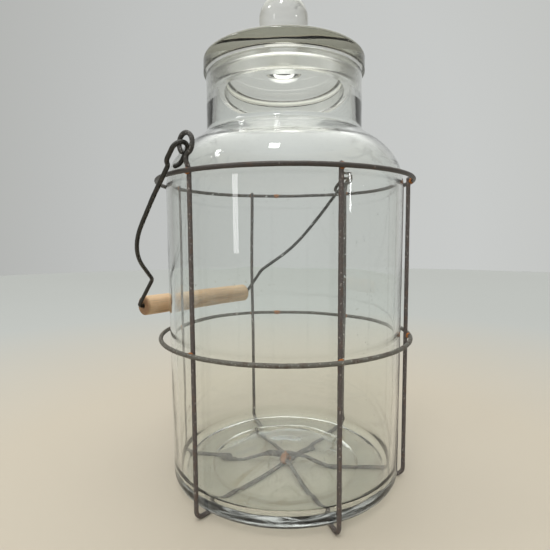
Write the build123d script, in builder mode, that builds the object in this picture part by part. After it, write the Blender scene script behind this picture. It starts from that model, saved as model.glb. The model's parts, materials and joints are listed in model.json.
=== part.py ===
from build123d import *

import os
from math import asin, atan2, cos, degrees, radians, sin, sqrt, tan

# A stoppered glass storage jar in a wire carrier with a swinging bail handle.
# Millimetres, +Z up. The origin is on the jar's axis at floor level. The bail's hinge runs along X,
# the bail hangs towards +Y, and -Y is the front.

# ---------------------------------------------------------------- driving sizes
# jar
body_r = 111.0  # outside, just under the shoulder
body_draft = 1.2  # how much narrower the body is at its foot
body_h = 269.2  # foot to the start of the shoulder
wall = 5.5
heel_r = 8.5
base_t = 7.5
inner_heel_r = 13.0
punt_r = 72.0  # pushed-up hollow under the base
punt_h = 13.0
shoulder_r = 52.0
shoulder_turn = 54.0  # degrees from the upright wall to the cone of the shoulder
neck_r = 72.6
neck_len = 53.0
neck_fillet_r = 6.0
rim_edge_r = 2.0

# ground seat in the neck, and the stopper
seat_wall = 6.1  # glass between the neck's outside and the top of the seat
seat_depth = 20.0
seat_taper = 0.1  # radius lost per millimetre of depth
seat_gap = 0.3
plug_depth = 14.7
plug_wall = 8.0
plug_edge_r = 2.0
hollow_fillet_r = 5.0
flange_overhang = 2.4  # past the outside of the neck
flange_t = 14.9
flange_edge_r = 3.5
stem_r = 12.0
stem_fillet_r = 6.0
knob_r = 22.9
knob_centre_h = 36.9  # knob's centre above the top of the flange

# carrier
wire_d = 4.0
jar_clearance = 2.2  # between the jar and each upright
foot_gap = 0.3  # between the jar and the wires that it stands on
weld_bite = 0.2  # how deep a hoop sits in the uprights that it is welded to
foot_bend_r = 7.0
crossing_gap = 0.1
arch_out_r = 42.0
arch_in_r = 16.0
arch_bend_r = 12.0
top_hoop_rise = 8.6  # above the start of the shoulder
middle_hoop_share = 0.4917  # of the top hoop's height
upright_stub = 3.6  # plain uprights end this far above the top hoop's centre
hoop_joint_angle = 44.0  # degrees from +X towards +Y

# the eyes that link carrier and bail
carrier_eye_turn = 311.0
joggle_bend_r = 5.0
joggle_start = 1.4  # above the top hoop's centre
link_tail_turn = 78.0
link_side_gap = 0.3  # between the bail's link and the wire of the carrier's eye
lift_gap = 0.5  # between the bail's eyes and the jar as it is lifted out
rest_gap = 0.3

# what grows with the wire, in wire diameters
weld_size = 0.75
centre_weld_size = 1.5
hoop_joint_size = 0.675
hoop_joint_length = 1.5
carrier_eye_size = 1.95
carrier_eye_bend = 1.0
link_size = 1.725  # the bail's eye is a long link
link_length = 2.1  # of its straight sides
link_bend = 1.25
bail_stem_offset_size = 0.825

# bail and grip
grip_r = 10.5
grip_half_len = 74.5
grip_edge_r = 2.5
grip_bore_gap = 0.3
grip_end_gap = 0.6
grip_to_jar = 10.5  # between the hanging grip and the jar
knob_spare = 9.6  # added reach, so that the grip passes over the knob
grip_bend_r = 4.5
hand_drop = 41.0  # from the grip up to the kink
kink_out = 1.0
kink_bend_r = 9.0
slope_drop = 42.0
shoulder_in = 3.2
arm_bend_r = 80.0
arm_straight = 29.0

# ---------------------------------------------------------------- worked-out sizes
wire_r = wire_d / 2
weld_r = weld_size * wire_d
centre_weld_r = centre_weld_size * wire_d
hoop_joint_r = hoop_joint_size * wire_d
hoop_joint_half_len = hoop_joint_length * wire_d
carrier_eye_r = carrier_eye_size * wire_d
carrier_eye_bend_r = carrier_eye_bend * wire_d
link_end_r = link_size * wire_d
link_straight = link_length * wire_d
link_bend_r = link_bend * wire_d
link_offset = link_end_r - wire_d - link_side_gap  # the link stands this far out from the carrier's eye
bail_stem_offset = bail_stem_offset_size * wire_d
upright_count = 6
foot_z = wire_d + foot_gap
foot_r = body_r - body_draft
shoulder_z = foot_z + body_h
top_hoop_z = shoulder_z + top_hoop_rise
middle_hoop_z = middle_hoop_share * top_hoop_z
seat_top_r = neck_r - seat_wall
flange_r = neck_r + flange_overhang
turn = radians(shoulder_turn)
cone_r = body_r - shoulder_r * (1 - cos(turn))
cone_z = shoulder_z + shoulder_r * sin(turn)
neck_z = cone_z + (cone_r - neck_r) / tan(turn)
rim_z = neck_z + neck_len
flange_z = rim_z + seat_gap
flange_top_z = flange_z + flange_t
knob_z = flange_top_z + knob_centre_h
knob_top_z = knob_z + knob_r

upright_r = body_r + jar_clearance + wire_r
hoop_r = upright_r + wire_d - weld_bite
weld_at_r = upright_r + wire_r
bail_eye_x = body_r + lift_gap + wire_r + link_end_r
carrier_eye_x = bail_eye_x - link_offset
link_top = sqrt(link_end_r**2 - link_offset**2)  # link's upper end circle below the hinge axis
link_low = link_top + link_straight  # and its lower one
bail_reach = knob_top_z - top_hoop_z + grip_r + knob_spare
hang = asin((body_r + grip_to_jar + grip_r) / bail_reach)  # from straight down, towards +Y
eye_over_hoop = link_low + sqrt(link_end_r**2 - (bail_eye_x - hoop_r) ** 2)
hinge_z = top_hoop_z + eye_over_hoop * cos(hang) + wire_d + 2 * rest_gap
grip_y = bail_reach * sin(hang)
grip_z = hinge_z - bail_reach * cos(hang)

os.makedirs("parts", exist_ok=True)


def save(piece, name):
    piece.part.label = name
    export_step(piece.part, f"parts/{name}.step")


def upright_plane(angle):
    """The vertical plane through the jar's axis, its x pointing outwards at this angle."""
    a = radians(angle)
    return Plane(origin=(0, 0, 0), x_dir=(cos(a), sin(a), 0), z_dir=(sin(a), -cos(a), 0))


# ---------------------------------------------------------------- eyes
def stem_height(eye_r, bend_r, stem):
    """How far below an eye's centre its stem starts to bend."""
    return sqrt((eye_r + bend_r) ** 2 - (stem - bend_r) ** 2)


def stem_lean(eye_r, bend_r, stem):
    """The turn of that bend, in degrees."""
    return degrees(atan2(stem_height(eye_r, bend_r, stem), bend_r - stem))


def round_eye(eye_r, bend_r, sweep_turn):
    """A stem's bend and the round eye that it runs into, about the origin."""
    lean = stem_lean(eye_r, bend_r, 0)
    CenterArc((-bend_r, -stem_height(eye_r, bend_r, 0)), bend_r, 0, lean)
    CenterArc((0, 0), eye_r, 180 + lean, -sweep_turn)


def link_eye(side):
    """The bail's stem bend and its link, up the outer side and down the inner one, at the -X or +X end."""
    x = -side * bail_eye_x
    outer, inner = (180, 0) if side > 0 else (0, 180)
    bend_x = x - side * (bail_stem_offset + link_bend_r)
    low = stem_height(link_end_r, link_bend_r, -bail_stem_offset)
    lean = stem_lean(link_end_r, link_bend_r, -bail_stem_offset)
    CenterArc((bend_x, -link_low - low), link_bend_r, inner, side * lean)
    CenterArc((x, -link_low), link_end_r, outer + side * lean, -side * lean)
    Line((x - side * link_end_r, -link_low), (x - side * link_end_r, -link_top))
    CenterArc((x, -link_top), link_end_r, outer, -side * 180)
    Line((x + side * link_end_r, -link_top), (x + side * link_end_r, -link_low))
    CenterArc((x, -link_low), link_end_r, inner, -side * link_tail_turn)


# ---------------------------------------------------------------- jar
def shoulder_outline(inset):
    """Body, shoulder and neck at this depth below the outer surface, from the foot to the neck."""
    corner_r = neck_r - inset
    corner_z = neck_z - inset * tan(turn / 2)
    bend = neck_fillet_r + inset
    cut = bend * tan(turn / 2)
    across, up = sin(turn), cos(turn)
    arc_r = shoulder_r - inset
    start = (body_r - shoulder_r + arc_r * cos(turn), shoulder_z + arc_r * sin(turn))
    end = (corner_r + cut * across, corner_z - cut * up)
    CenterArc((body_r - shoulder_r, shoulder_z), arc_r, 0, shoulder_turn)
    Line(start, end)
    TangentArc(end, (corner_r, corner_z + cut), tangent=(-across, up))
    return (corner_r, corner_z + cut)


def dome(edge_z):
    """Half of the pushed-up hollow's arc, from its edge at this height in to the axis."""
    arc_r = (punt_r**2 + punt_h**2) / (2 * punt_h)
    half = degrees(asin(punt_r / arc_r))
    CenterArc((0, edge_z + punt_h - arc_r), arc_r, 90 - half, half)


with BuildPart() as glass_jar:
    with BuildSketch(Plane.XZ):
        with BuildLine():
            dome(foot_z)
            Line((punt_r, foot_z), (foot_r - heel_r, foot_z))
            CenterArc((foot_r - heel_r, foot_z + heel_r), heel_r, 270, 90)
            Line((foot_r, foot_z + heel_r), (body_r, shoulder_z))
            neck_foot = shoulder_outline(0)
            Line(neck_foot, (neck_r, rim_z - rim_edge_r))
            CenterArc((neck_r - rim_edge_r, rim_z - rim_edge_r), rim_edge_r, 0, 90)
            Line((neck_r - rim_edge_r, rim_z), (seat_top_r, rim_z))
            seat_end = (seat_top_r - seat_taper * seat_depth, rim_z - seat_depth)
            Line((seat_top_r, rim_z), seat_end)
            inner_foot = shoulder_outline(wall)
            Line(seat_end, inner_foot)
            Line((body_r - wall, shoulder_z), (foot_r - wall, foot_z + base_t + inner_heel_r))
            floor_r = foot_r - wall - inner_heel_r
            CenterArc((floor_r, foot_z + base_t + inner_heel_r), inner_heel_r, 270, 90)
            Line((floor_r, foot_z + base_t), (punt_r, foot_z + base_t))
            dome(foot_z + base_t)
            Line((0, foot_z + base_t + punt_h), (0, foot_z + punt_h))
        make_face()
    revolve(axis=Axis.Z)
save(glass_jar, "glass_jar")

# ---------------------------------------------------------------- stopper
plug_top_r = seat_top_r - seat_gap
plug_low_z = rim_z - plug_depth
plug_low_r = plug_top_r - seat_taper * plug_depth
hollow_r = plug_low_r - plug_wall

with BuildPart() as glass_stopper:
    with BuildSketch(Plane.XZ):
        with BuildLine():
            Polyline(
                (0, flange_z),
                (hollow_r, flange_z),
                (hollow_r, plug_low_z),
                (plug_low_r, plug_low_z),
                (plug_top_r, rim_z),
                (plug_top_r, flange_z),
                (flange_r, flange_z),
                (flange_r, flange_top_z),
                (stem_r, flange_top_z),
                (stem_r, knob_z),
                (0, knob_z),
                (0, flange_z),
            )
        make_face()
    revolve(axis=Axis.Z)
    with Locations((0, 0, knob_z)):
        Sphere(knob_r)
    rings = glass_stopper.edges().filter_by(GeomType.CIRCLE)
    fillet(rings.filter_by(lambda e: abs(e.radius - stem_r) < 0.01), radius=stem_fillet_r)
    rings = glass_stopper.edges().filter_by(GeomType.CIRCLE)
    fillet(rings.filter_by(lambda e: abs(e.radius - flange_r) < 0.01), radius=flange_edge_r)
    rings = glass_stopper.edges().filter_by(GeomType.CIRCLE)
    lower = rings.filter_by(lambda e: abs(e.center().Z - plug_low_z) < 0.01)
    fillet(lower, radius=plug_edge_r)
    rings = glass_stopper.edges().filter_by(GeomType.CIRCLE)
    inner = rings.filter_by(lambda e: abs(e.radius - hollow_r) < 0.01 and abs(e.center().Z - flange_z) < 0.01)
    fillet(inner, radius=hollow_fillet_r)
save(glass_stopper, "glass_stopper")

# ---------------------------------------------------------------- carrier's wires
eye_low = hinge_z - stem_height(carrier_eye_r, carrier_eye_bend_r, 0)
joggle_end = eye_low - joggle_bend_r * 0.45

with BuildPart() as carrying_wire:
    with BuildLine(Plane.XZ) as carrying_path:
        FilletPolyline(
            (-carrier_eye_x, eye_low),
            (-carrier_eye_x, joggle_end),
            (-upright_r, top_hoop_z + joggle_start),
            (-upright_r, wire_r),
            (upright_r, wire_r),
            (upright_r, top_hoop_z + joggle_start),
            (carrier_eye_x, joggle_end),
            (carrier_eye_x, eye_low),
            radius=[joggle_bend_r, joggle_bend_r, foot_bend_r, foot_bend_r, joggle_bend_r, joggle_bend_r],
        )
    with BuildSketch(Plane(origin=carrying_path.line @ 0, z_dir=carrying_path.line % 0)):
        Circle(wire_r)
    sweep(path=carrying_path.line)
    for x in (-carrier_eye_x, carrier_eye_x):
        eye_plane = Plane(origin=(x, 0, hinge_z), x_dir=(0, 1, 0), z_dir=(1, 0, 0))
        with BuildLine(eye_plane) as eye_path:
            round_eye(carrier_eye_r, carrier_eye_bend_r, carrier_eye_turn)
        with BuildSketch(Plane.XY.offset(eye_low)):
            with Locations((x, 0)):
                Circle(wire_r)
        sweep(path=eye_path.line)
save(carrying_wire, "carrying_wire")


def cross_wire(angle, layer):
    """A plain wire: up one side, under the jar over the wires laid before it, and up the other."""
    lift = layer * (wire_d + crossing_gap)
    end_z = top_hoop_z + upright_stub
    with BuildPart() as piece:
        with BuildLine(upright_plane(angle)) as path:
            FilletPolyline(
                (-upright_r, end_z),
                (-upright_r, wire_r),
                (-arch_out_r, wire_r),
                (-arch_in_r, wire_r + lift),
                (arch_in_r, wire_r + lift),
                (arch_out_r, wire_r),
                (upright_r, wire_r),
                (upright_r, end_z),
                radius=[foot_bend_r] + 4 * [arch_bend_r] + [foot_bend_r],
            )
        with BuildSketch(Plane(origin=path.line @ 0, z_dir=path.line % 0)):
            Circle(wire_r)
        sweep(path=path.line)
    return piece


cross_wire_low = cross_wire(60, 1)
save(cross_wire_low, "cross_wire_low")
cross_wire_high = cross_wire(120, 2)
save(cross_wire_high, "cross_wire_high")

with BuildPart() as centre_weld:
    with Locations((0, 0, wire_r + wire_d + crossing_gap)):
        Sphere(centre_weld_r)
save(centre_weld, "centre_weld")

# ---------------------------------------------------------------- hoops and their welds
for hoop_name, hoop_z in (("middle_hoop", middle_hoop_z), ("top_hoop", top_hoop_z)):
    with BuildPart() as hoop:
        with Locations((0, 0, hoop_z)):
            Torus(hoop_r, wire_r)
    save(hoop, hoop_name)

    with BuildPart() as welds:
        with Locations((0, 0, hoop_z)):
            with PolarLocations(weld_at_r, upright_count):
                Sphere(weld_r)
    save(welds, f"{hoop_name}_welds")

    at = radians(hoop_joint_angle)
    joint_point = (hoop_r * cos(at), hoop_r * sin(at), hoop_z)
    along = (-sin(at), cos(at), 0)
    with BuildPart() as hoop_joint:
        with BuildSketch(Plane(origin=joint_point, x_dir=along, z_dir=(0, 0, 1))):
            Ellipse(hoop_joint_half_len, hoop_joint_r)
            with Locations((0, -hoop_joint_r)):
                Rectangle(2 * hoop_joint_half_len, 2 * hoop_joint_r, mode=Mode.SUBTRACT)
        revolve(axis=Axis(joint_point, along))
    save(hoop_joint, f"{hoop_name}_joint")

# ---------------------------------------------------------------- bail
# Drawn in the plane of the hanging bail: x along the hinge, y up towards the hinge axis.
bail_plane = Plane(origin=(0, 0, hinge_z), x_dir=(1, 0, 0), z_dir=(0, -cos(hang), -sin(hang)))
stem_x = bail_eye_x + bail_stem_offset
stem_y = -link_low - stem_height(link_end_r, link_bend_r, -bail_stem_offset)
corner_x = grip_half_len + grip_end_gap + grip_bend_r
kink_y = hand_drop - bail_reach
half_arm = [
    (stem_x, stem_y),
    (stem_x, stem_y - arm_straight),
    (stem_x - shoulder_in, kink_y + slope_drop),
    (corner_x + kink_out, kink_y),
    (corner_x, -bail_reach),
]
half_bends = [arm_bend_r, arm_bend_r, kink_bend_r, grip_bend_r]

with BuildPart() as bail_wire:
    with BuildLine(bail_plane) as bail_path:
        FilletPolyline(
            *[(-x, y) for x, y in half_arm],
            *reversed(half_arm),
            radius=half_bends + half_bends[::-1],
        )
        for side in (1, -1):
            link_eye(side)
    bail_curve = bail_path.wires()[0]
    with BuildSketch(Plane(origin=bail_curve @ 0, z_dir=bail_curve % 0)):
        Circle(wire_r)
    sweep(path=bail_curve)
save(bail_wire, "bail_wire")

with BuildPart(Plane(origin=(0, grip_y, grip_z), z_dir=(1, 0, 0))) as wooden_grip:
    Cylinder(grip_r, 2 * grip_half_len)
    fillet(wooden_grip.edges().filter_by(GeomType.CIRCLE), radius=grip_edge_r)
    Hole(wire_r + grip_bore_gap)
save(wooden_grip, "wooden_grip")

print(f"hinge z {hinge_z:.2f}, hang {degrees(hang):.2f} deg, swing {360 - 2 * degrees(hang):.2f} deg")
print(f"grip y {grip_y:.2f} z {grip_z:.2f}, rim {rim_z:.2f}, knob top {knob_top_z:.2f}")
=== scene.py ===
import json
import bpy
from math import atan2, cos, degrees, hypot, pi, radians, sin, sqrt, tan
from mathutils import Matrix, Vector, noise


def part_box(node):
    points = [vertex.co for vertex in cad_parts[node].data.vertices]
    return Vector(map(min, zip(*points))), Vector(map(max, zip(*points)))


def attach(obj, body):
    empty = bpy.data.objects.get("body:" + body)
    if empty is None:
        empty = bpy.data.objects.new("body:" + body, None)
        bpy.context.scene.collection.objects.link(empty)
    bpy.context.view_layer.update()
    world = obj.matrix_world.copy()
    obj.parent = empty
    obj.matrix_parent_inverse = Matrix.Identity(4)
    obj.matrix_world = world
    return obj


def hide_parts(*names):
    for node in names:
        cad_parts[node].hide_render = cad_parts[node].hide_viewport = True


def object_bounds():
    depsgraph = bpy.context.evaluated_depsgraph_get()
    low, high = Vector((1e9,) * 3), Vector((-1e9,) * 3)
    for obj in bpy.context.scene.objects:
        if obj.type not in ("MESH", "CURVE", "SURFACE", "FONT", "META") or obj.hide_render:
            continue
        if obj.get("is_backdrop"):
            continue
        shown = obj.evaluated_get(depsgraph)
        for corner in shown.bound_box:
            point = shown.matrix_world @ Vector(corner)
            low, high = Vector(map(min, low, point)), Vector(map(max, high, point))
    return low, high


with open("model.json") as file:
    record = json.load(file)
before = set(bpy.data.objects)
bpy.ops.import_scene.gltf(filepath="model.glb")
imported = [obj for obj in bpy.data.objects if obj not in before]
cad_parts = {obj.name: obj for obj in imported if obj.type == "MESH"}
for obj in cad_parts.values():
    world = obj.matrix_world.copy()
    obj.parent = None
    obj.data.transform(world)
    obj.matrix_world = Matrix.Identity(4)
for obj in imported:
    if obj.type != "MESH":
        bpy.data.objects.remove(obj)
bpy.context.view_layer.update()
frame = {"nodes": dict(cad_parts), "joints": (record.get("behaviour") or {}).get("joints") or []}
joints = {joint["name"]: joint for joint in frame["joints"]}
mm = 0.001
print("frame loaded:", len(frame["nodes"]), "CAD nodes")

camera = {
    "place": (-0.3304, -0.2691, 0.2303),  # metres
    "heading": -49.568,  # degrees about Z
    "pitch": 85.211,
    "roll": -0.335,
    "lens": 28.52,  # mm, as the sensor is
    "sensor": 36.0,
    "nearest": 0.01,
}
cameraData = bpy.data.cameras.new("viewCamera")
cameraData.lens = camera["lens"]
cameraData.sensor_width = camera["sensor"]
cameraData.clip_start = camera["nearest"]
cameraObject = bpy.data.objects.new("viewCamera", cameraData)
bpy.context.scene.collection.objects.link(cameraObject)
turned = (
    Matrix.Rotation(radians(camera["heading"]), 4, "Z")
    @ Matrix.Rotation(radians(camera["pitch"]), 4, "X")
    @ Matrix.Rotation(radians(camera["roll"]), 4, "Z")
)
cameraObject.matrix_world = Matrix.Translation(camera["place"]) @ turned
bpy.context.scene.camera = cameraObject
bpy.context.scene.view_settings.view_transform = "Standard"


class Field:
    # a node's output, so that shader maths can be written as sums
    def __init__(self, maker, socket):
        self.maker, self.socket = maker, socket

    def math(self, operation, *values):
        return self.maker.add("ShaderNodeMath", {"operation": operation}, dict(enumerate(values)))

    def __add__(self, other):
        return self.math("ADD", self, other)

    def __radd__(self, other):
        return self.math("ADD", other, self)

    def __sub__(self, other):
        return self.math("SUBTRACT", self, other)

    def __rsub__(self, other):
        return self.math("SUBTRACT", other, self)

    def __mul__(self, other):
        return self.math("MULTIPLY", self, other)

    def __rmul__(self, other):
        return self.math("MULTIPLY", other, self)

    def __truediv__(self, other):
        return self.math("DIVIDE", self, other)

    def __rtruediv__(self, other):
        return self.math("DIVIDE", other, self)

    def __pow__(self, other):
        return self.math("POWER", self, other)

    def __gt__(self, other):
        return self.math("GREATER_THAN", self, other)

    def __lt__(self, other):
        return self.math("LESS_THAN", self, other)


class NodeMaker:
    # makes the nodes of one tree and hands back their outputs as fields
    def __init__(self, tree):
        self.tree = tree

    def add(self, kind, settings=None, inputs=None, output=0):
        node = self.tree.nodes.new(kind)
        for name, value in (settings or {}).items():
            setattr(node, name, value)
        for name, value in (inputs or {}).items():
            if isinstance(value, Field):
                value = value.socket
            if isinstance(value, bpy.types.NodeSocket):
                self.tree.links.new(value, node.inputs[name])
            else:
                node.inputs[name].default_value = value
        return Field(self, node.outputs[output])

    def objectPoint(self):
        return self.add("ShaderNodeTexCoord", output=3)

    def mapped(self, scale):
        return self.add("ShaderNodeMapping", inputs={"Vector": self.objectPoint(), "Scale": scale})

    def noise(self, scale, detail=3.0, rough=0.5, point=None, dimple=0.0):
        values = {"Vector": point or self.objectPoint(), "Scale": scale, "Detail": detail, "Roughness": rough}
        values["Distortion"] = dimple
        return self.add("ShaderNodeTexNoise", inputs=values)

    def spread(self, value, low, high, toLow=0.0, toHigh=1.0):
        values = {"Value": value, "From Min": low, "From Max": high, "To Min": toLow, "To Max": toHigh}
        return self.add("ShaderNodeMapRange", {"clamp": True}, values)

    def blendColour(self, mask, first, second):
        first = first if isinstance(first, Field) else (*first, 1.0)
        second = second if isinstance(second, Field) else (*second, 1.0)
        return self.add("ShaderNodeMix", {"data_type": "RGBA"}, {0: mask, 6: first, 7: second}, output=2)

    def parts(self, vector):
        split = self.add("ShaderNodeSeparateXYZ", inputs={0: vector}).socket.node
        return [Field(self, output) for output in split.outputs]

    def litThrough(self, shader, share):
        # lets a share of each lamp's light reach what stands behind the glass
        clear = self.add("ShaderNodeBsdfTransparent", inputs={"Color": (share, share, share, 1.0)})
        isShadow = self.add("ShaderNodeLightPath", output="Is Shadow Ray")
        return self.add("ShaderNodeMixShader", inputs={0: isShadow, 1: shader, 2: clear})

    def bump(self, height, strength, distance, normal=None):
        values = {"Strength": strength, "Distance": distance, "Height": height}
        if normal:
            values["Normal"] = normal
        return self.add("ShaderNodeBump", inputs=values)


def newFinish(name, build, lampShare=0.0, **constants):
    # a material whose varying sockets come from build and whose other sockets are constants
    material = bpy.data.materials.new(name)
    material.use_nodes = True
    material.node_tree.nodes.clear()
    maker = NodeMaker(material.node_tree)
    values = build(maker)
    for socketName, value in constants.items():
        values[socketName.replace("_", " ")] = value
    shader = maker.add("ShaderNodeBsdfPrincipled", inputs=values)
    if lampShare:
        shader = maker.litThrough(shader, lampShare)
    output = material.node_tree.nodes.new("ShaderNodeOutputMaterial")
    material.node_tree.links.new(shader.socket, output.inputs["Surface"])
    return material


stage = {
    "floorRadius": 3.0,
    "floorColour": (0.49, 0.435, 0.355),
    "floorFar": (0.43, 0.443, 0.438),
    "floorBlend": (0.30, 0.95),  # metres from the middle, where one turns into the other
    "floorDust": (0.3, 0.28, 0.25),
    "dustScale": 1.4,
    "dustShare": 0.12,
    "floorRough": 0.55,
    "skyAlong": (0.55, 0.562, 0.552),  # in front of and behind the camera
    "skyAcross": (0.38, 0.38, 0.35),  # to the sides, so that glass edges show
    "skyTurn": (0.25, 0.85),  # where across turns into along, as a squared share of the way
    "overheadFrom": (0.5, 0.95),  # how steeply up that begins and is full
    "skyTop": 3.2,  # how much lighter it gets overhead
    "skySlope": 0.16,  # how much lighter the sky is to the camera's right
    "target": (0.0, 0.0, 0.25),
}
lights = {  # degrees to the right of the camera, degrees up, metres away, width, height, watts, seen in glass
    "windowBox": (-14.0, 62.0, 1.3, 0.16, 0.26, 2.4, True),
    "keyBox": (-78.0, 44.0, 1.5, 0.22, 0.22, 1.8, True),
    "leftStrip": (-42.0, 6.0, 1.25, 0.11, 0.42, 0.9, True),
    "rightStrip": (58.0, 10.0, 1.3, 0.03, 0.34, 0.5, True),
    "softTop": (-30.0, 70.0, 2.0, 1.6, 1.6, 3.0, False),
    "softFront": (-25.0, 25.0, 2.2, 1.6, 1.2, 5.0, False),
}


def buildStage():
    bpy.ops.mesh.primitive_circle_add(vertices=96, radius=stage["floorRadius"], fill_type="NGON")
    floor = bpy.context.object
    floor.name = "paleFloor"

    def paint(maker):
        x, y, z = maker.parts(maker.objectPoint())
        away = maker.spread((x * x + y * y) ** 0.5, *stage["floorBlend"])
        pale = maker.blendColour(away, stage["floorColour"], stage["floorFar"])
        dust = maker.noise(stage["dustScale"], 2.0) * stage["dustShare"]
        colour = maker.blendColour(dust, pale, stage["floorDust"])
        return {"Base Color": colour, "Roughness": stage["floorRough"]}

    floor.data.materials.append(newFinish("floorFinish", paint))
    floor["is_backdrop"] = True

    world = bpy.data.worlds.new("studioWorld")
    world.use_nodes = True
    bpy.context.scene.world = world
    maker = NodeMaker(world.node_tree)
    world.node_tree.nodes.clear()
    east, north, up = maker.parts(maker.add("ShaderNodeTexCoord", output=0))
    along = Vector(stage["target"]) - Vector(camera["place"])
    along.z = 0
    along.normalize()
    facing = east * along.x + north * along.y
    mask = maker.spread(facing * facing + up * up * 0.5, *stage["skyTurn"])
    colour = maker.blendColour(mask, stage["skyAcross"], stage["skyAlong"])
    overhead = maker.spread(up, *stage["overheadFrom"])
    strength = 1.0 + (east * along.y - north * along.x) * stage["skySlope"] + overhead * stage["skyTop"]
    background = maker.add("ShaderNodeBackground", inputs={"Color": colour, "Strength": strength})
    output = world.node_tree.nodes.new("ShaderNodeOutputWorld")
    world.node_tree.links.new(background.socket, output.inputs["Surface"])

    target = Vector(stage["target"])
    cameraSide = atan2(camera["place"][1], camera["place"][0])
    for name, (turn, rise, away, width, height, watts, shows) in lights.items():
        data = bpy.data.lights.new(name, "AREA")
        data.shape = "RECTANGLE"
        data.size, data.size_y, data.energy = width, height, watts
        light = bpy.data.objects.new(name, data)
        light.visible_glossy = shows
        light.visible_transmission = False
        bpy.context.scene.collection.objects.link(light)
        at = cameraSide + radians(turn)
        level = cos(radians(rise))
        place = target + away * Vector((cos(at) * level, sin(at) * level, sin(radians(rise))))
        aim = (target - place).to_track_quat("-Z", "Y").to_matrix().to_4x4()
        light.matrix_world = Matrix.Translation(place) @ aim


buildStage()
print("camera, floor and lights ready")


def arc(centre, radius, start, sweep, steps=None):
    # points along an arc in a plane; angles in degrees
    steps = steps or max(3, int(abs(sweep) / 6))
    angles = [radians(start + sweep * i / steps) for i in range(steps + 1)]
    return [Vector((centre[0] + radius * cos(a), centre[1] + radius * sin(a))) for a in angles]


def roundedPath(corners, radii, steps=8):
    # straight runs with each inner corner turned into an arc
    corners = [Vector(corner) for corner in corners]
    path = [corners[0]]
    for before, corner, after, radius in zip(corners, corners[1:], corners[2:], radii):
        u, v = (before - corner).normalized(), (after - corner).normalized()
        half = u.angle(v) / 2
        middle = corner + (u + v).normalized() * (radius / sin(half))
        first = corner + u * (radius / tan(half)) - middle
        last = corner + v * (radius / tan(half)) - middle
        start = degrees(atan2(first.y, first.x))
        sweep = (degrees(atan2(last.y, last.x)) - start + 180) % 360 - 180
        path += arc(middle, radius, start, sweep, steps)
    return path + [corners[-1]]


def divided(path, step, edge=0.0):
    # the same line with its long runs cut into shorter ones, close to their ends too, and no point twice
    result = [path[0]]
    for point in path[1:]:
        length = (point - result[-1]).length
        if length < 1e-6:
            continue
        start, count = result[-1], max(1, int(length / step))
        cuts = [i / count for i in range(1, count)]
        if length > 4 * edge > 0:
            cuts = [edge / length] + cuts + [1 - edge / length]
        result += [start.lerp(point, cut) for cut in cuts] + [point]
    return result


def turnedMesh(name, profile, segments, ring=False, shift=None):
    # turns (radius, height) points round Z, the solid on the left of the line
    verts, rows = [], []
    for radius, height in profile:
        if radius < 1e-6:
            rows.append([len(verts)] * segments)
            verts.append((0, 0, height))
            continue
        rows.append(range(len(verts), len(verts) + segments))
        for j in range(segments):
            angle = 2 * pi * j / segments
            r, z = shift(radius, height, angle) if shift else (radius, height)
            verts.append((r * cos(angle), r * sin(angle), z))
    faces = []
    pairs = list(zip(rows, rows[1:])) + ([(rows[-1], rows[0])] if ring else [])
    for low, high in pairs:
        for j in range(segments):
            k = (j + 1) % segments
            face = [low[j], low[k], high[k], high[j]]
            faces.append([v for i, v in enumerate(face) if v not in face[:i]])
    mesh = bpy.data.meshes.new(name)
    mesh.from_pydata(verts, [], faces)
    mesh.validate()
    mesh.shade_smooth()
    return mesh


def settle(name, mesh, body, replaced, finish=None):
    # puts a finished mesh on its body in place of its CAD nodes
    piece = bpy.data.objects.new(name, mesh)
    bpy.context.scene.collection.objects.link(piece)
    if finish:
        mesh.materials.clear()
        mesh.materials.append(finish)
    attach(piece, body)
    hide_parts(*replaced)
    print(name, "done:", len(mesh.polygons), "faces")
    return piece


glass = {
    "index": 1.49,
    "wallTint": (0.950, 0.964, 0.950),
    "baseTint": (0.925, 0.955, 0.915),  # where the foot is thick
    "baseFade": 0.55,  # share of that height from which the tint fades
    "stopperTint": (0.955, 0.947, 0.915),
    "edgeTintAndShade": (0.42, 0.41, 0.32),  # a thick edge seen from its side: the thick glass's own tint, made darker still as painted shade
    "edgeBand": (2.5 * mm, 0.5 * mm),  # in from that edge, where the tint and painted shade begin and are full
    "edgeScale": 9.0,  # noise patches to a metre, as in the other scales
    "edgeNoise": (0.3, 0.6),  # noise values where it begins and is full, as in the other pairs so named
    "edgeLeast": 0.55,
    "polish": 0.004,
    "smearScale": 26.0,
    "smearNoise": (0.52, 0.75),
    "smearRough": 0.035,
    "groundRough": 0.16,
    "groundBand": 4 * mm,
    "frostScale": 1500.0,
    "frostRough": 0.08,
    "scuffRough": 0.13,  # the foot, from years of standing
    "scuffLeast": 0.6,
    "scuffFade": (6.5 * mm, 13 * mm),  # up the foot, where that begins to fade and has gone
    "waveScale": 24.0,
    "waveBump": (0.08, 2 * mm),  # strength and depth, as in the other bumps
    "seedScale": 420.0,
    "seedNoise": (0.74, 0.80),
    "seedBump": (0.35, 0.3 * mm),
    "lampShare": 0.8,  # how much of a lamp's light each face of the glass lets through
    "waveDepth": 0.35,  # mm, the unevenness of blown glass
}


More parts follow.
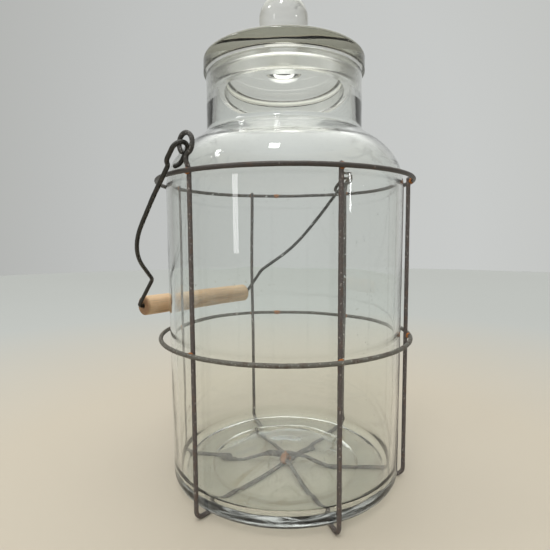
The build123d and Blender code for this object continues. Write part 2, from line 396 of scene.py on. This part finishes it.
def glassFinish(name, clear, thickBelow, ground, edgeRadius=0.0):
    # ground is the lowest and highest point and the radius of the ground zone
    def paint(maker):
        x, y, z = maker.parts(maker.objectPoint())
        radius = (x * x + y * y) ** 0.5
        thick = 1.0 - maker.spread(z, thickBelow * glass["baseFade"], thickBelow)
        tint = maker.blendColour(thick, glass[clear], glass["baseTint"])
        # a band at the flange's rim, darkened in patches: the thick glass's own tint with painted shade added
        if edgeRadius:
            outer, full = glass["edgeBand"]
            side = maker.spread(radius, edgeRadius - outer, edgeRadius - full)
            cloud = maker.noise(glass["edgeScale"], 1.0)
            side = side * maker.spread(cloud, *glass["edgeNoise"], glass["edgeLeast"])
            tint = maker.blendColour(side, tint, glass["edgeTintAndShade"])
        low, high, groundR = ground
        frosted = (z > low) * (z < high) * (radius < groundR) * (radius > groundR - glass["groundBand"])
        smear = maker.spread(maker.noise(glass["smearScale"], 4.0), *glass["smearNoise"])
        frost = maker.noise(glass["frostScale"], 2.0)
        scuffed = 1.0 - maker.spread(z, *glass["scuffFade"])
        rough = glass["polish"] + smear * glass["smearRough"]
        rough = rough + frosted * (glass["groundRough"] + frost * glass["frostRough"])
        rough = rough + scuffed * glass["scuffRough"] * (glass["scuffLeast"] + smear)
        waves = maker.bump(maker.noise(glass["waveScale"], 1.0), *glass["waveBump"])
        seeds = maker.spread(maker.noise(glass["seedScale"], 1.0), *glass["seedNoise"])
        speck = maker.bump(seeds, *glass["seedBump"], waves)
        return {"Base Color": tint, "Roughness": rough, "Normal": speck}

    fixed = {"Transmission_Weight": 1.0, "IOR": glass["index"]}
    return newFinish(name, paint, glass["lampShare"], **fixed)


jar = {  # mm and degrees
    "wall": 5.5,
    "draft": 1.2,
    "bodyHeight": 269.2,
    "heel": 8.5,
    "base": 7.5,
    "innerHeel": 13.0,
    "puntRadius": 72.0,
    "puntHeight": 13.0,
    "shoulderRadius": 52.0,
    "shoulderTurn": 54.0,
    "neckRadius": 72.6,
    "neckFillet": 6.0,
    "rimRound": 2.0,
    "seatTop": 66.5,
    "seatDepth": 20.0,
    "seatTaper": 0.1,
    "lipRound": 0.8,
    "neckSplit": 20.0,  # below the rim, where the wall's outline meets the rim's
    "tintTop": 26.0,  # up to where the thick foot tints the glass
    "groundTop": 1.0,  # below the rim
    "groundReach": 0.6,  # beyond the seat's radius, so that all of the seat is ground
    "calmTop": 45.0,  # below the rim, where the unevenness ends, because something has to fit above
    "calmFade": 30.0,
    "swirl": 1.6,  # waves round the jar
    "waveHeight": 60.0,
    "wavesApart": 9.0,  # so that the outer side's waves and the inner side's don't match
    "outerFrom": 0.6,  # share of the wall's thickness, in from the outer side, that counts as outside
    "outerShare": 0.6,
    "lumpDepth": 1.1,  # of the floor inside
    "lumpSize": 26.0,
    "lumpLayer": 3.0,  # where the noise is cut for them
    "lumpEdge": 4.0,
    "lumpFade": 12.0,  # towards the middle, where the floor stays as it is
    "segments": 192,
    "step": 5.0,
    "edge": 0.3,
}


def buildJar():
    low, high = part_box("glass_jar")
    bodyR, footZ, rimZ = high.x / mm, low.z / mm, high.z / mm
    turn = radians(jar["shoulderTurn"])
    shoulderZ = footZ + jar["bodyHeight"]
    coneR = bodyR - jar["shoulderRadius"] * (1 - cos(turn))
    coneZ = shoulderZ + jar["shoulderRadius"] * sin(turn)
    neckZ = coneZ + (coneR - jar["neckRadius"]) / tan(turn)
    footR = bodyR - jar["draft"]

    def dome(edgeZ):
        domeR = (jar["puntRadius"] ** 2 + jar["puntHeight"] ** 2) / (2 * jar["puntHeight"])
        half = degrees(atan2(jar["puntRadius"], domeR - jar["puntHeight"]))
        points = arc((0, edgeZ + jar["puntHeight"] - domeR), domeR, 90, -half, 18)
        points[0].x = 0.0
        return points

    def shoulder(inset, topZ):
        centre = (bodyR - jar["shoulderRadius"], shoulderZ)
        bend = arc(centre, jar["shoulderRadius"] - inset, 0, jar["shoulderTurn"], 24)
        corner = (jar["neckRadius"] - inset, neckZ - inset * tan(turn / 2))
        neck = roundedPath([bend[-1], corner, (corner[0], topZ)], [jar["neckFillet"] + inset])
        return bend[:-1] + neck[:-1]

    seatFoot = (jar["seatTop"] - jar["seatTaper"] * jar["seatDepth"], rimZ - jar["seatDepth"])
    outer = [Vector((footR - jar["heel"], footZ))]
    outer += arc((footR - jar["heel"], footZ + jar["heel"]), jar["heel"], 270, 90, 12)
    outer += shoulder(0, rimZ - jar["neckSplit"])
    rim = roundedPath(
        [outer[-1], (jar["neckRadius"], rimZ), (jar["seatTop"], rimZ), seatFoot],
        [jar["rimRound"], jar["lipRound"]],
        6,
    )
    wallR = footR - jar["wall"]
    floorZ = footZ + jar["base"]
    inner = shoulder(jar["wall"], rimZ - jar["neckSplit"])[::-1]
    inner += arc((wallR - jar["innerHeel"], floorZ + jar["innerHeel"]), jar["innerHeel"], 0, -90, 12)
    profile = divided(dome(footZ) + outer + rim + inner + dome(floorZ)[::-1], jar["step"], jar["edge"])
    profile[-1].x = 0.0

    def shift(radius, height, angle):
        # slow unevenness, only where nothing has to fit
        free = min(1.0, max(0.0, (rimZ - jar["calmTop"] - height) / jar["calmFade"]))
        outside = radius > bodyR - jar["outerFrom"] * jar["wall"] - jar["draft"]
        x, y, swirl = cos(angle), sin(angle), jar["swirl"]
        along = height / jar["waveHeight"] + (0 if outside else jar["wavesApart"])
        wave = noise.noise(Vector((x * swirl, y * swirl, along)))
        depth = glass["waveDepth"] * free
        onFloor = floorZ - 0.5 < height < floorZ + jar["puntHeight"] + jar["lumpEdge"]
        if onFloor and radius < wallR - jar["lumpEdge"]:
            place = Vector((radius * x / jar["lumpSize"], radius * y / jar["lumpSize"], jar["lumpLayer"]))
            lift = jar["lumpDepth"] * noise.noise(place)
            return radius * mm, (height + lift * min(1, radius / jar["lumpFade"])) * mm
        if outside:
            return (radius - depth * (0.5 + 0.5 * wave) * jar["outerShare"]) * mm, height * mm
        return (radius + depth * wave * (height > floorZ)) * mm, height * mm

    mesh = turnedMesh("jarGlass", profile, jar["segments"], shift=shift)
    for vertex in mesh.vertices:
        if vertex.co.x == 0 and vertex.co.y == 0:
            vertex.co.z *= mm
    groundFoot, groundTop = rimZ - jar["seatDepth"], rimZ - jar["groundTop"]
    ground = (groundFoot * mm, groundTop * mm, (jar["seatTop"] + jar["groundReach"]) * mm)
    finish = glassFinish("jarGlassFinish", "wallTint", jar["tintTop"] * mm, ground)
    settle("jarGlass", mesh, "jar", ["glass_jar"], finish)


buildJar()

stopper = {  # mm
    "plugTop": 66.2,
    "plugDepth": 14.7,
    "plugTaper": 0.1,
    "plugWall": 8.0,
    "plugEdge": 2.0,
    "hollowRound": 5.0,
    "seatRound": 0.25,
    "seatGap": 0.3,
    "groundTop": 1.5,  # below the flange
    "groundReach": 0.5,
    "tintTop": 1.0,  # below all of it, so the foot's tint doesn't reach it
    "flangeHeight": 14.9,
    "flangeEdge": 3.5,
    "underEdge": 1.2,
    "stemRadius": 12.0,
    "stemFillet": 6.0,
    "knobRadius": 22.9,
    "segments": 216,
    "step": 4.0,
    "edge": 0.3,
}


def buildStopper():
    low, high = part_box("glass_stopper")
    flangeR, plugLow, knobTop = high.x / mm, low.z / mm, high.z / mm
    flangeZ = plugLow + stopper["plugDepth"] + stopper["seatGap"]
    topZ = flangeZ + stopper["flangeHeight"]
    knobZ = knobTop - stopper["knobRadius"]
    plugLowR = stopper["plugTop"] - stopper["plugTaper"] * stopper["plugDepth"]
    hollowR = plugLowR - stopper["plugWall"]
    corners = [
        (0, flangeZ),
        (hollowR, flangeZ),
        (hollowR, plugLow),
        (plugLowR, plugLow),
        (stopper["plugTop"], flangeZ),
        (flangeR, flangeZ),
        (flangeR, topZ),
        (stopper["stemRadius"] + stopper["stemFillet"] + 1, topZ),
    ]
    names = ("hollowRound", "plugEdge", "plugEdge", "seatRound", "underEdge", "flangeEdge")
    rounds = [stopper[name] for name in names]
    profile = roundedPath(corners, rounds, 12)
    bendR = stopper["stemRadius"] + stopper["stemFillet"]
    reach = stopper["knobRadius"] + stopper["stemFillet"]
    below = sqrt(reach**2 - bendR**2)
    lean = degrees(atan2(below, bendR))
    profile += arc((bendR, topZ + stopper["stemFillet"]), stopper["stemFillet"], 270, -90, 8)
    profile += arc((bendR, knobZ - below), stopper["stemFillet"], 180, -lean, 7)
    profile += arc((0, knobZ), stopper["knobRadius"], -lean, 90 + lean, 34)
    profile = [point * mm for point in divided(profile, stopper["step"], stopper["edge"])]
    profile[-1].x = 0.0
    mesh = turnedMesh("stopperGlass", profile, stopper["segments"])
    groundTop, groundR = flangeZ - stopper["groundTop"], stopper["plugTop"] + stopper["groundReach"]
    ground = (plugLow * mm, groundTop * mm, groundR * mm)
    tintTop = stopper["tintTop"] * mm
    finish = glassFinish("stopperGlassFinish", "stopperTint", tintTop, ground, flangeR * mm)
    settle("stopperGlass", mesh, "stopper", ["glass_stopper"], finish)


buildStopper()


wireLooks = {
    "cage": {
        "finish": "cageWireFinish",
        "steel": (0.104, 0.087, 0.081),
        "rust": (0.150, 0.094, 0.070),
        "fleck": (0.36, 0.33, 0.295),
        "rusty": 0.32,  # how much of the wire is rusty, from 0 to 1
        "flecked": 0.6,  # how much of it has lost its coating
        "rough": 0.5,
        "metal": 0.25,
        "eyeDark": (0.050, 0.047, 0.043),  # the eyes, which are darker than the rest
        "eyeDarkAbove": 284.5 * mm,
        "eyeDarkFade": 6 * mm,
    },
    "topHoop": {
        "finish": "topHoopFinish",
        "steel": (0.060, 0.050, 0.045),
        "rust": (0.100, 0.064, 0.046),
        "fleck": (0.27, 0.25, 0.22),
        "rusty": 0.25,
        "flecked": 0.35,
        "rough": 0.42,
        "metal": 0.3,
    },
    "middleHoop": {
        "finish": "middleHoopFinish",
        "steel": (0.128, 0.121, 0.102),
        "rust": (0.082, 0.054, 0.040),
        "fleck": (0.40, 0.39, 0.34),
        "rusty": 0.42,
        "flecked": 0.6,
        "rough": 0.55,
        "metal": 0.25,
    },
    "bail": {
        "finish": "bailWireFinish",
        "steel": (0.030, 0.028, 0.024),
        "rust": (0.060, 0.046, 0.034),
        "fleck": (0.17, 0.16, 0.14),
        "rusty": 0.2,
        "flecked": 0.2,
        "rough": 0.38,
        "metal": 0.35,
    },
    "weld": {
        "finish": "weldFinish",
        "steel": (0.100, 0.044, 0.020),
        "rust": (0.46, 0.170, 0.045),
        "fleck": (0.16, 0.10, 0.07),
        "rusty": 0.9,
        "flecked": 0.3,
        "rough": 0.66,
        "metal": 0.15,
    },
}
wireGrain = {  # noise scales and values, and how strongly each shows
    "patchScale": 150.0,
    "rustNoise": (0.62, 0.80),
    "rustShift": 0.3,  # how far down those two are where a wire is all rusty
    "fleckScale": 620.0,
    "fleckNoise": (0.72, 0.80),
    "fleckShift": 0.2,
    "grainScale": 900.0,
    "grainNoise": (0.35, 0.7),
    "grainShare": 0.45,
    "grainDark": 0.45,
    "rustRough": 0.2,
    "wornSmooth": 0.12,
    "bump": (0.5, 0.35 * mm),
}


def wireFinish(look):
    def starts(kind, amount):
        # where rust or flecks begin and are full, lower where a wire has more of them
        return [value - wireGrain[kind + "Shift"] * look[amount] for value in wireGrain[kind + "Noise"]]

    def paint(maker):
        patches = maker.noise(wireGrain["patchScale"], 5.0, 0.6)
        grain = maker.noise(wireGrain["grainScale"], 4.0, 0.65)
        rusty = maker.spread(patches, *starts("rust", "rusty"))
        base = maker.blendColour(rusty, look["steel"], look["rust"])
        # above that height, at the eyes, the wire's colour turns darker
        if "eyeDark" in look:
            height = maker.parts(maker.objectPoint())[2]
            eyeDark = maker.spread(height, look["eyeDarkAbove"], look["eyeDarkAbove"] + look["eyeDarkFade"])
            base = maker.blendColour(eyeDark, base, look["eyeDark"])
        flecks = maker.noise(wireGrain["fleckScale"], 3.0)
        worn = maker.spread(flecks, *starts("fleck", "flecked"))
        colour = maker.blendColour(worn, base, look["fleck"])
        shade = maker.spread(grain, *wireGrain["grainNoise"], 0.0, wireGrain["grainShare"])
        darkest = tuple(wireGrain["grainDark"] * channel for channel in look["steel"])
        return {
            "Base Color": maker.blendColour(shade, colour, darkest),
            "Roughness": look["rough"] + rusty * wireGrain["rustRough"] - worn * wireGrain["wornSmooth"],
            "Normal": maker.bump(grain + patches, *wireGrain["bump"]),
        }

    return newFinish(look["finish"], paint, Metallic=look["metal"])


finishes = {name: wireFinish(look) for name, look in wireLooks.items()}

wire = {
    "step": 0.9,  # mm between rings
    "sides": 14,
    "pitDepth": 0.16,  # mm
    "pitSize": 5.5,  # mm
    "pitNoise": (0.3, 0.7),  # where a pit begins and is as deep as it gets
    "endFlat": 0.15,  # mm, how much of the rounded end is left flat
    "uncut": 1.0,  # metres, longer than any run, so that only doubled points go
}
weld = {
    "pit": 0.7 * mm,
    "jointPit": 0.5 * mm,
    "pitShare": 0.8,  # a pit's size in bead radii
    "jointHalf": 6.0 * mm,  # half the length of the lump where a hoop's ends meet
}
pitSockets = {"Pit depth": "Float", "Pit size": "Float", "Seed": "Float", "Material": "Material"}


def newTree(name, sockets):
    # an empty geometry tree with these inputs; gives its maker and the sockets by name
    tree = bpy.data.node_groups.new(name, "GeometryNodeTree")
    tree.interface.new_socket("Geometry", in_out="INPUT", socket_type="NodeSocketGeometry")
    for socketName, kind in sockets.items():
        tree.interface.new_socket(socketName, in_out="INPUT", socket_type="NodeSocket" + kind)
    tree.interface.new_socket("Geometry", in_out="OUTPUT", socket_type="NodeSocketGeometry")
    maker = NodeMaker(tree)
    entry = tree.nodes.new("NodeGroupInput")
    given = {socket.name: Field(maker, socket) for socket in entry.outputs if socket.name}
    return maker, given


def closeTree(maker, geometry, material):
    smooth = maker.add("GeometryNodeSetShadeSmooth", inputs={"Geometry": geometry})
    real = maker.add("GeometryNodeRealizeInstances", inputs={"Geometry": smooth})
    painted = maker.add("GeometryNodeSetMaterial", inputs={"Geometry": real, "Material": material})
    leave = maker.tree.nodes.new("NodeGroupOutput")
    maker.tree.links.new(painted.socket, leave.inputs["Geometry"])


def pitted(maker, geometry, given):
    # sinks the surface in small patches, never outwards
    values = {"Scale": 1.0 / given["Pit size"], "Detail": 2.0, "Roughness": 0.6, "W": given["Seed"]}
    grain = maker.add("ShaderNodeTexNoise", {"noise_dimensions": "4D"}, values)
    normal = maker.add("GeometryNodeInputNormal")
    sink = maker.spread(grain, *wire["pitNoise"]) * given["Pit depth"] * -1.0
    offset = maker.add("ShaderNodeVectorMath", {"operation": "SCALE"}, {0: normal, "Scale": sink})
    return maker.add("GeometryNodeSetPosition", inputs={"Geometry": geometry, "Offset": offset})


def wireTree():
    sockets = {"Radius": "Float", "Step": "Float", "Sides": "Int", "End flat": "Float"}
    maker, given = newTree("wireAlongPath", {**sockets, **pitSockets})
    values = {"Curve": given["Geometry"], "Length": given["Step"]}
    line = maker.add("GeometryNodeResampleCurve", {"mode": "LENGTH"}, values)
    along = maker.add("GeometryNodeSplineParameter", output=1)
    total = maker.add("GeometryNodeSplineLength")
    toEnd = along.math("MINIMUM", along, total - along)
    share = along.math("MINIMUM", (toEnd + given["End flat"]) / given["Radius"], 1.0)
    taper = (1.0 - (1.0 - share) * (1.0 - share)) ** 0.5
    values = {"Resolution": given["Sides"], "Radius": given["Radius"]}
    profile = maker.add("GeometryNodeCurvePrimitiveCircle", inputs=values)
    values = {"Curve": line, "Profile Curve": profile, "Scale": taper, "Fill Caps": True}
    tube = maker.add("GeometryNodeCurveToMesh", inputs=values)
    closeTree(maker, pitted(maker, tube, given), given["Material"])
    return maker.tree


def beadTree():
    sockets = {"Radius": "Float", "Stretch": "Vector", "Turn": "Rotation"}
    maker, given = newTree("beadsOnPoints", {**sockets, **pitSockets})
    ball = maker.add("GeometryNodeMeshIcoSphere", inputs={"Radius": given["Radius"], "Subdivisions": 5})
    values = {"Points": given["Geometry"], "Instance": ball}
    values.update({"Rotation": given["Turn"], "Scale": given["Stretch"]})
    beads = maker.add("GeometryNodeInstanceOnPoints", inputs=values)
    solid = maker.add("GeometryNodeRealizeInstances", inputs={"Geometry": beads})
    closeTree(maker, pitted(maker, solid, given), given["Material"])
    return maker.tree


wireAlongPath = wireTree()
beadsOnPoints = beadTree()


def grown(name, source, tree, values):
    # runs a tree on a curve or a few points and keeps the result as a plain mesh
    holder = bpy.data.objects.new(name + "Source", source)
    bpy.context.scene.collection.objects.link(holder)
    modifier = holder.modifiers.new("grow", "NODES")
    modifier.node_group = tree
    for item in tree.interface.items_tree:
        if item.in_out == "INPUT" and item.name in values:
            modifier[item.identifier] = values[item.name]
    evaluated = holder.evaluated_get(bpy.context.evaluated_depsgraph_get())
    mesh = bpy.data.meshes.new_from_object(evaluated)
    mesh.name = name
    bpy.data.objects.remove(holder)
    return mesh


def wireMesh(name, path, radius, finish, seed, closed=False):
    curve = bpy.data.curves.new(name + "Path", "CURVE")
    curve.dimensions = "3D"
    spline = curve.splines.new("POLY")
    spline.points.add(len(path) - 1)
    for point, place in zip(spline.points, path):
        point.co = (*place, 1.0)
    spline.use_cyclic_u = closed
    values = {
        "Radius": radius,
        "Step": wire["step"] * mm,
        "Sides": wire["sides"],
        "End flat": 1.0 if closed else wire["endFlat"] * mm,
        "Pit depth": wire["pitDepth"] * mm,
        "Pit size": wire["pitSize"] * mm,
        "Seed": float(seed),
        "Material": finish,
    }
    return grown(name, curve, wireAlongPath, values)


def beadMesh(name, points, radius, seed, depth, stretch=(1, 1, 1), turn=0.0):
    source = bpy.data.meshes.new(name + "Points")
    source.from_pydata(points, [], [])
    values = {
        "Radius": radius,
        "Stretch": stretch,
        "Turn": (0.0, 0.0, turn),
        "Pit depth": depth,
        "Pit size": radius * weld["pitShare"],
        "Seed": float(seed),
        "Material": finishes["weld"],
    }
    return grown(name, source, beadsOnPoints, values)


cage = {  # mm and degrees
    "weldBite": 0.2,
    "footBend": 7.0,
    "stub": 3.6,
    "joggleStart": 1.4,
    "joggleBend": 5.0,
    "joggleShare": 0.45,  # of that bend, kept straight under the eye
    "eyeRadius": 7.8,
    "eyeBend": 4.0,
    "eyeTurn": 311.0,
    "archOut": 42.0,
    "archIn": 16.0,
    "archBend": 12.0,
    "crossingGap": 0.1,
    "crossAngles": (60.0, 120.0),
    "uprights": 6,
    "hoopSides": 256,
}

# what the CAD boxes and joints give, in metres
hoopLow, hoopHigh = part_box("top_hoop")
wireR = (hoopHigh.z - hoopLow.z) / 2
hoopR = hoopHigh.x - wireR
uprightR = hoopR - 2 * wireR + cage["weldBite"] * mm
topHoopZ = (hoopLow.z + hoopHigh.z) / 2
hinge = Vector(joints["bail_swing"]["pos_m"])
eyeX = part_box("carrying_wire")[1].x - wireR


def carryingPath():
    eye, bend = cage["eyeRadius"] * mm, cage["eyeBend"] * mm
    low = sqrt((eye + bend) ** 2 - bend**2)
    lean = degrees(atan2(low, bend))
    loop = arc((-bend, -low), bend, 0, lean) + arc((0, 0), eye, 180 + lean, -cage["eyeTurn"], 60)
    joggleEnd = hinge.z - low - cage["joggleBend"] * mm * cage["joggleShare"]
    joggle = topHoopZ + cage["joggleStart"] * mm
    right = [(uprightR, wireR), (uprightR, joggle), (eyeX, joggleEnd), (eyeX, hinge.z - low)]
    corners = [(-x, z) for x, z in reversed(right)] + right
    bends = [cage["joggleBend"] * mm] * 2 + [cage["footBend"] * mm] * 2 + [cage["joggleBend"] * mm] * 2
    trunk = [Vector((p.x, 0, p.y)) for p in roundedPath(corners, bends)]
    ends = [[Vector((x, p.x, hinge.z + p.y)) for p in loop] for x in (-eyeX, eyeX)]
    return divided(ends[0][::-1] + trunk + ends[1], wire["uncut"])


def crossPath(angle, layer):
    lift = wireR + layer * (2 * wireR + cage["crossingGap"] * mm)
    out, inner = cage["archOut"] * mm, cage["archIn"] * mm
    right = [(inner, lift), (out, wireR), (uprightR, wireR), (uprightR, topHoopZ + cage["stub"] * mm)]
    corners = [(-x, z) for x, z in reversed(right)] + right
    bends = [cage["footBend"] * mm] + [cage["archBend"] * mm] * 4 + [cage["footBend"] * mm]
    a = radians(angle)
    return [Vector((p.x * cos(a), p.x * sin(a), p.y)) for p in roundedPath(corners, bends)]


mesh = wireMesh("carryingWire", carryingPath(), wireR, finishes["cage"], 1)
settle("carryingWire", mesh, "cage", ["carrying_wire"])
crossings = (("crossWireLow", "cross_wire_low"), ("crossWireHigh", "cross_wire_high"))
for layer, (name, node) in enumerate(crossings, 1):
    path = crossPath(cage["crossAngles"][layer - 1], layer)
    mesh = wireMesh(name, path, wireR, finishes["cage"], 1 + layer)
    settle(name, mesh, "cage", [node])


def ringOf(count, radius, height):
    turns = [2 * pi * i / count for i in range(count)]
    return [Vector((radius * cos(a), radius * sin(a), height)) for a in turns]


hoops = (("middleHoop", "middle_hoop", "hoop_wire", 11), ("topHoop", "top_hoop", "wire", 12))
for name, node, slot, seed in hoops:
    low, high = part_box(node)
    height = (low.z + high.z) / 2
    ring = ringOf(cage["hoopSides"], hoopR, height)
    mesh = wireMesh(name, ring, wireR, finishes[name], seed, closed=True)
    settle(name, mesh, "cage", [node])

    low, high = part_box(node + "_welds")
    beadR = (high.z - low.z) / 2
    beads = ringOf(cage["uprights"], high.x - beadR, height)
    mesh = beadMesh(name + "Welds", beads, beadR, seed, weld["pit"])
    settle(name + "Welds", mesh, "cage", [node + "_welds"])

    low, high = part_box(node + "_joint")
    lumpR = (high.z - low.z) / 2
    at = atan2(low.y + high.y, low.x + high.x)
    spot = (hoopR * cos(at), hoopR * sin(at), height)
    stretch = (1, weld["jointHalf"] / lumpR, 1)
    mesh = beadMesh(name + "Joint", [spot], lumpR, seed + 3, weld["jointPit"], stretch, at)
    settle(name + "Joint", mesh, "cage", [node + "_joint"])

low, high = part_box("centre_weld")
mesh = beadMesh("centreWeld", [(low + high) / 2], (high.z - low.z) / 2, 21, weld["pit"])
settle("centreWeld", mesh, "cage", ["centre_weld"])

bail = {  # mm and degrees
    "linkEnd": 6.9,
    "linkStraight": 8.4,
    "linkBend": 5.0,
    "linkTail": 78.0,
    "linkOffset": 2.6,
    "stemOffset": 3.3,
    "armStraight": 29.0,
    "shoulderIn": 3.2,
    "slopeDrop": 42.0,
    "handDrop": 41.0,
    "kinkOut": 1.0,
    "gripHalf": 75.1,  # with the end gap
    "armBend": 80.0,
    "kinkBend": 9.0,
    "gripBend": 4.5,
}


def bailPath():
    grip = Vector(joints["grip_spin"]["pos_m"])
    reach = hypot(grip.y, hinge.z - grip.z) / mm
    hang = atan2(grip.y, hinge.z - grip.z)
    linkX = eyeX / mm + bail["linkOffset"]
    top = sqrt(bail["linkEnd"] ** 2 - bail["linkOffset"] ** 2)
    low = top + bail["linkStraight"]
    bend, stem = bail["linkBend"], bail["stemOffset"]
    drop = sqrt((bail["linkEnd"] + bend) ** 2 - (stem + bend) ** 2)
    lean = degrees(atan2(drop, stem + bend))
    link = arc((linkX + stem + bend, -low - drop), bend, 180, -lean)
    link += arc((linkX, -low), bail["linkEnd"], -lean, lean)
    link += arc((linkX, -top), bail["linkEnd"], 0, 180)
    link += arc((linkX, -low), bail["linkEnd"], 180, bail["linkTail"])
    stemX, stemY = linkX + stem, -low - drop
    cornerX = bail["gripHalf"] + bail["gripBend"]
    kinkY = bail["handDrop"] - reach
    half = [
        (stemX, stemY),
        (stemX, stemY - bail["armStraight"]),
        (stemX - bail["shoulderIn"], kinkY + bail["slopeDrop"]),
        (cornerX + bail["kinkOut"], kinkY),
        (cornerX, -reach),
    ]
    bends = [bail["armBend"], bail["armBend"], bail["kinkBend"], bail["gripBend"]]
    corners = half + [(-x, y) for x, y in reversed(half)]
    trunk = roundedPath(corners, bends + bends[::-1], 12)
    path = link[::-1] + trunk + [Vector((-p.x, p.y)) for p in link]
    hung = [Vector((p.x, -p.y * sin(hang), hinge.z / mm + p.y * cos(hang))) * mm for p in path]
    return divided(hung, wire["uncut"])


mesh = wireMesh("bailWire", bailPath(), wireR, finishes["bail"], 31)
settle("bailWire", mesh, "bail", ["bail_wire"])

wood = {
    "pale": (0.74, 0.545, 0.350),
    "tan": (0.64, 0.410, 0.225),
    "grey": (0.300, 0.215, 0.150),
    "endBrown": (0.22, 0.115, 0.055),
    "fibreScale": (34.0, 620.0, 620.0),  # along the grip and across it
    "fibreNoise": (0.42, 0.72),
    "fibreShare": 0.62,
    "fibreRough": 0.2,
    "streakScale": (12.0, 170.0, 170.0),
    "streakNoise": (0.58, 0.68),
    "streakShare": 0.5,
    "streakLift": 0.6,  # of the bump, beside the fibres' 1
    "cloudScale": 38.0,
    "cloudNoise": (0.35, 0.65),
    "endFade": (3.2, 0.3),  # mm in from the ends
    "endShare": 0.9,
    "rough": 0.62,
    "bump": (0.45, 0.4 * mm),
    "edgeRound": 2.5,  # mm, as the rest is
    "boreGap": 0.3,
    "boreFlare": 1.0,
    "flareDepth": 1.2,
    "boreCalm": 2.0,  # round the bore, where nothing has worn
    "softWear": 0.14,
    "softRound": 0.8,  # waves round the grip
    "softAlong": 22,
    "fineWear": 0.07,
    "fineRound": 5.0,
    "fineAlong": 30,
    "fineFrom": 40,  # far from the soft waves, so that the two don't match
    "waist": 0.16,  # how much thinner it has worn in the middle
    "step": 1.5,
    "segments": 96,
}


def buildGrip():
    low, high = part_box("wooden_grip")
    centre = (low + high) / 2
    half, radius = (high.x - low.x) / 2 / mm, (high.z - low.z) / 2 / mm
    bore = wireR / mm + wood["boreGap"]
    mouth, inside = bore + wood["boreFlare"], half - wood["flareDepth"]
    corners = [(mouth, -half), (radius, -half), (radius, half), (mouth, half)]
    outside = roundedPath(corners, [wood["edgeRound"]] * 2)
    profile = [Vector((bore, -inside))] + outside + [Vector((bore, inside)), Vector((bore, -inside))]
    profile = divided(profile, wood["step"])[:-1]

    def shift(r, t, angle):
        # turned by hand, worn and a little out of round
        if r < bore + wood["boreCalm"]:
            return r, t
        x, y, wide, close = cos(angle), sin(angle), wood["softRound"], wood["fineRound"]
        soft = noise.noise(Vector((x * wide, y * wide, t / wood["softAlong"])))
        fine = noise.noise(Vector((x * close, y * close, t / wood["fineAlong"] + wood["fineFrom"])))
        waist = wood["waist"] * (1 - (t / half) ** 2)
        return r - (wood["softWear"] * (1 + soft) + wood["fineWear"] * (1 + fine) + waist) * (r / radius), t

    mesh = turnedMesh("woodenGrip", profile, wood["segments"], ring=True, shift=shift)
    mesh.transform(Matrix.Translation(centre) @ Matrix.Rotation(pi / 2, 4, "Y") @ Matrix.Scale(mm, 4))

    def paint(maker):
        fibre = maker.noise(1.0, 5.0, 0.65, maker.mapped(wood["fibreScale"]), 0.4)
        streak = maker.noise(1.0, 3.0, 0.5, maker.mapped(wood["streakScale"]))
        cloud = maker.noise(wood["cloudScale"], 3.0)
        x = maker.parts(maker.objectPoint())[0]
        base = maker.blendColour(maker.spread(cloud, *wood["cloudNoise"]), wood["pale"], wood["tan"])
        fibres = maker.spread(fibre, *wood["fibreNoise"], 0.0, wood["fibreShare"])
        grained = maker.blendColour(fibres, base, wood["grey"])
        lines = maker.spread(streak, *wood["streakNoise"], 0.0, wood["streakShare"])
        lined = maker.blendColour(lines, grained, wood["endBrown"])
        first, last = [(half - inset) * mm for inset in wood["endFade"]]
        end = maker.spread(x.math("ABSOLUTE", x), first, last, 0.0, wood["endShare"])
        return {
            "Base Color": maker.blendColour(end, lined, wood["endBrown"]),
            "Roughness": wood["rough"] + fibre * wood["fibreRough"],
            "Normal": maker.bump(fibre + streak * wood["streakLift"], *wood["bump"]),
        }

    settle("woodenGrip", mesh, "grip", ["wooden_grip"], newFinish("gripWoodFinish", paint))


buildGrip()

low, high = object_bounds()
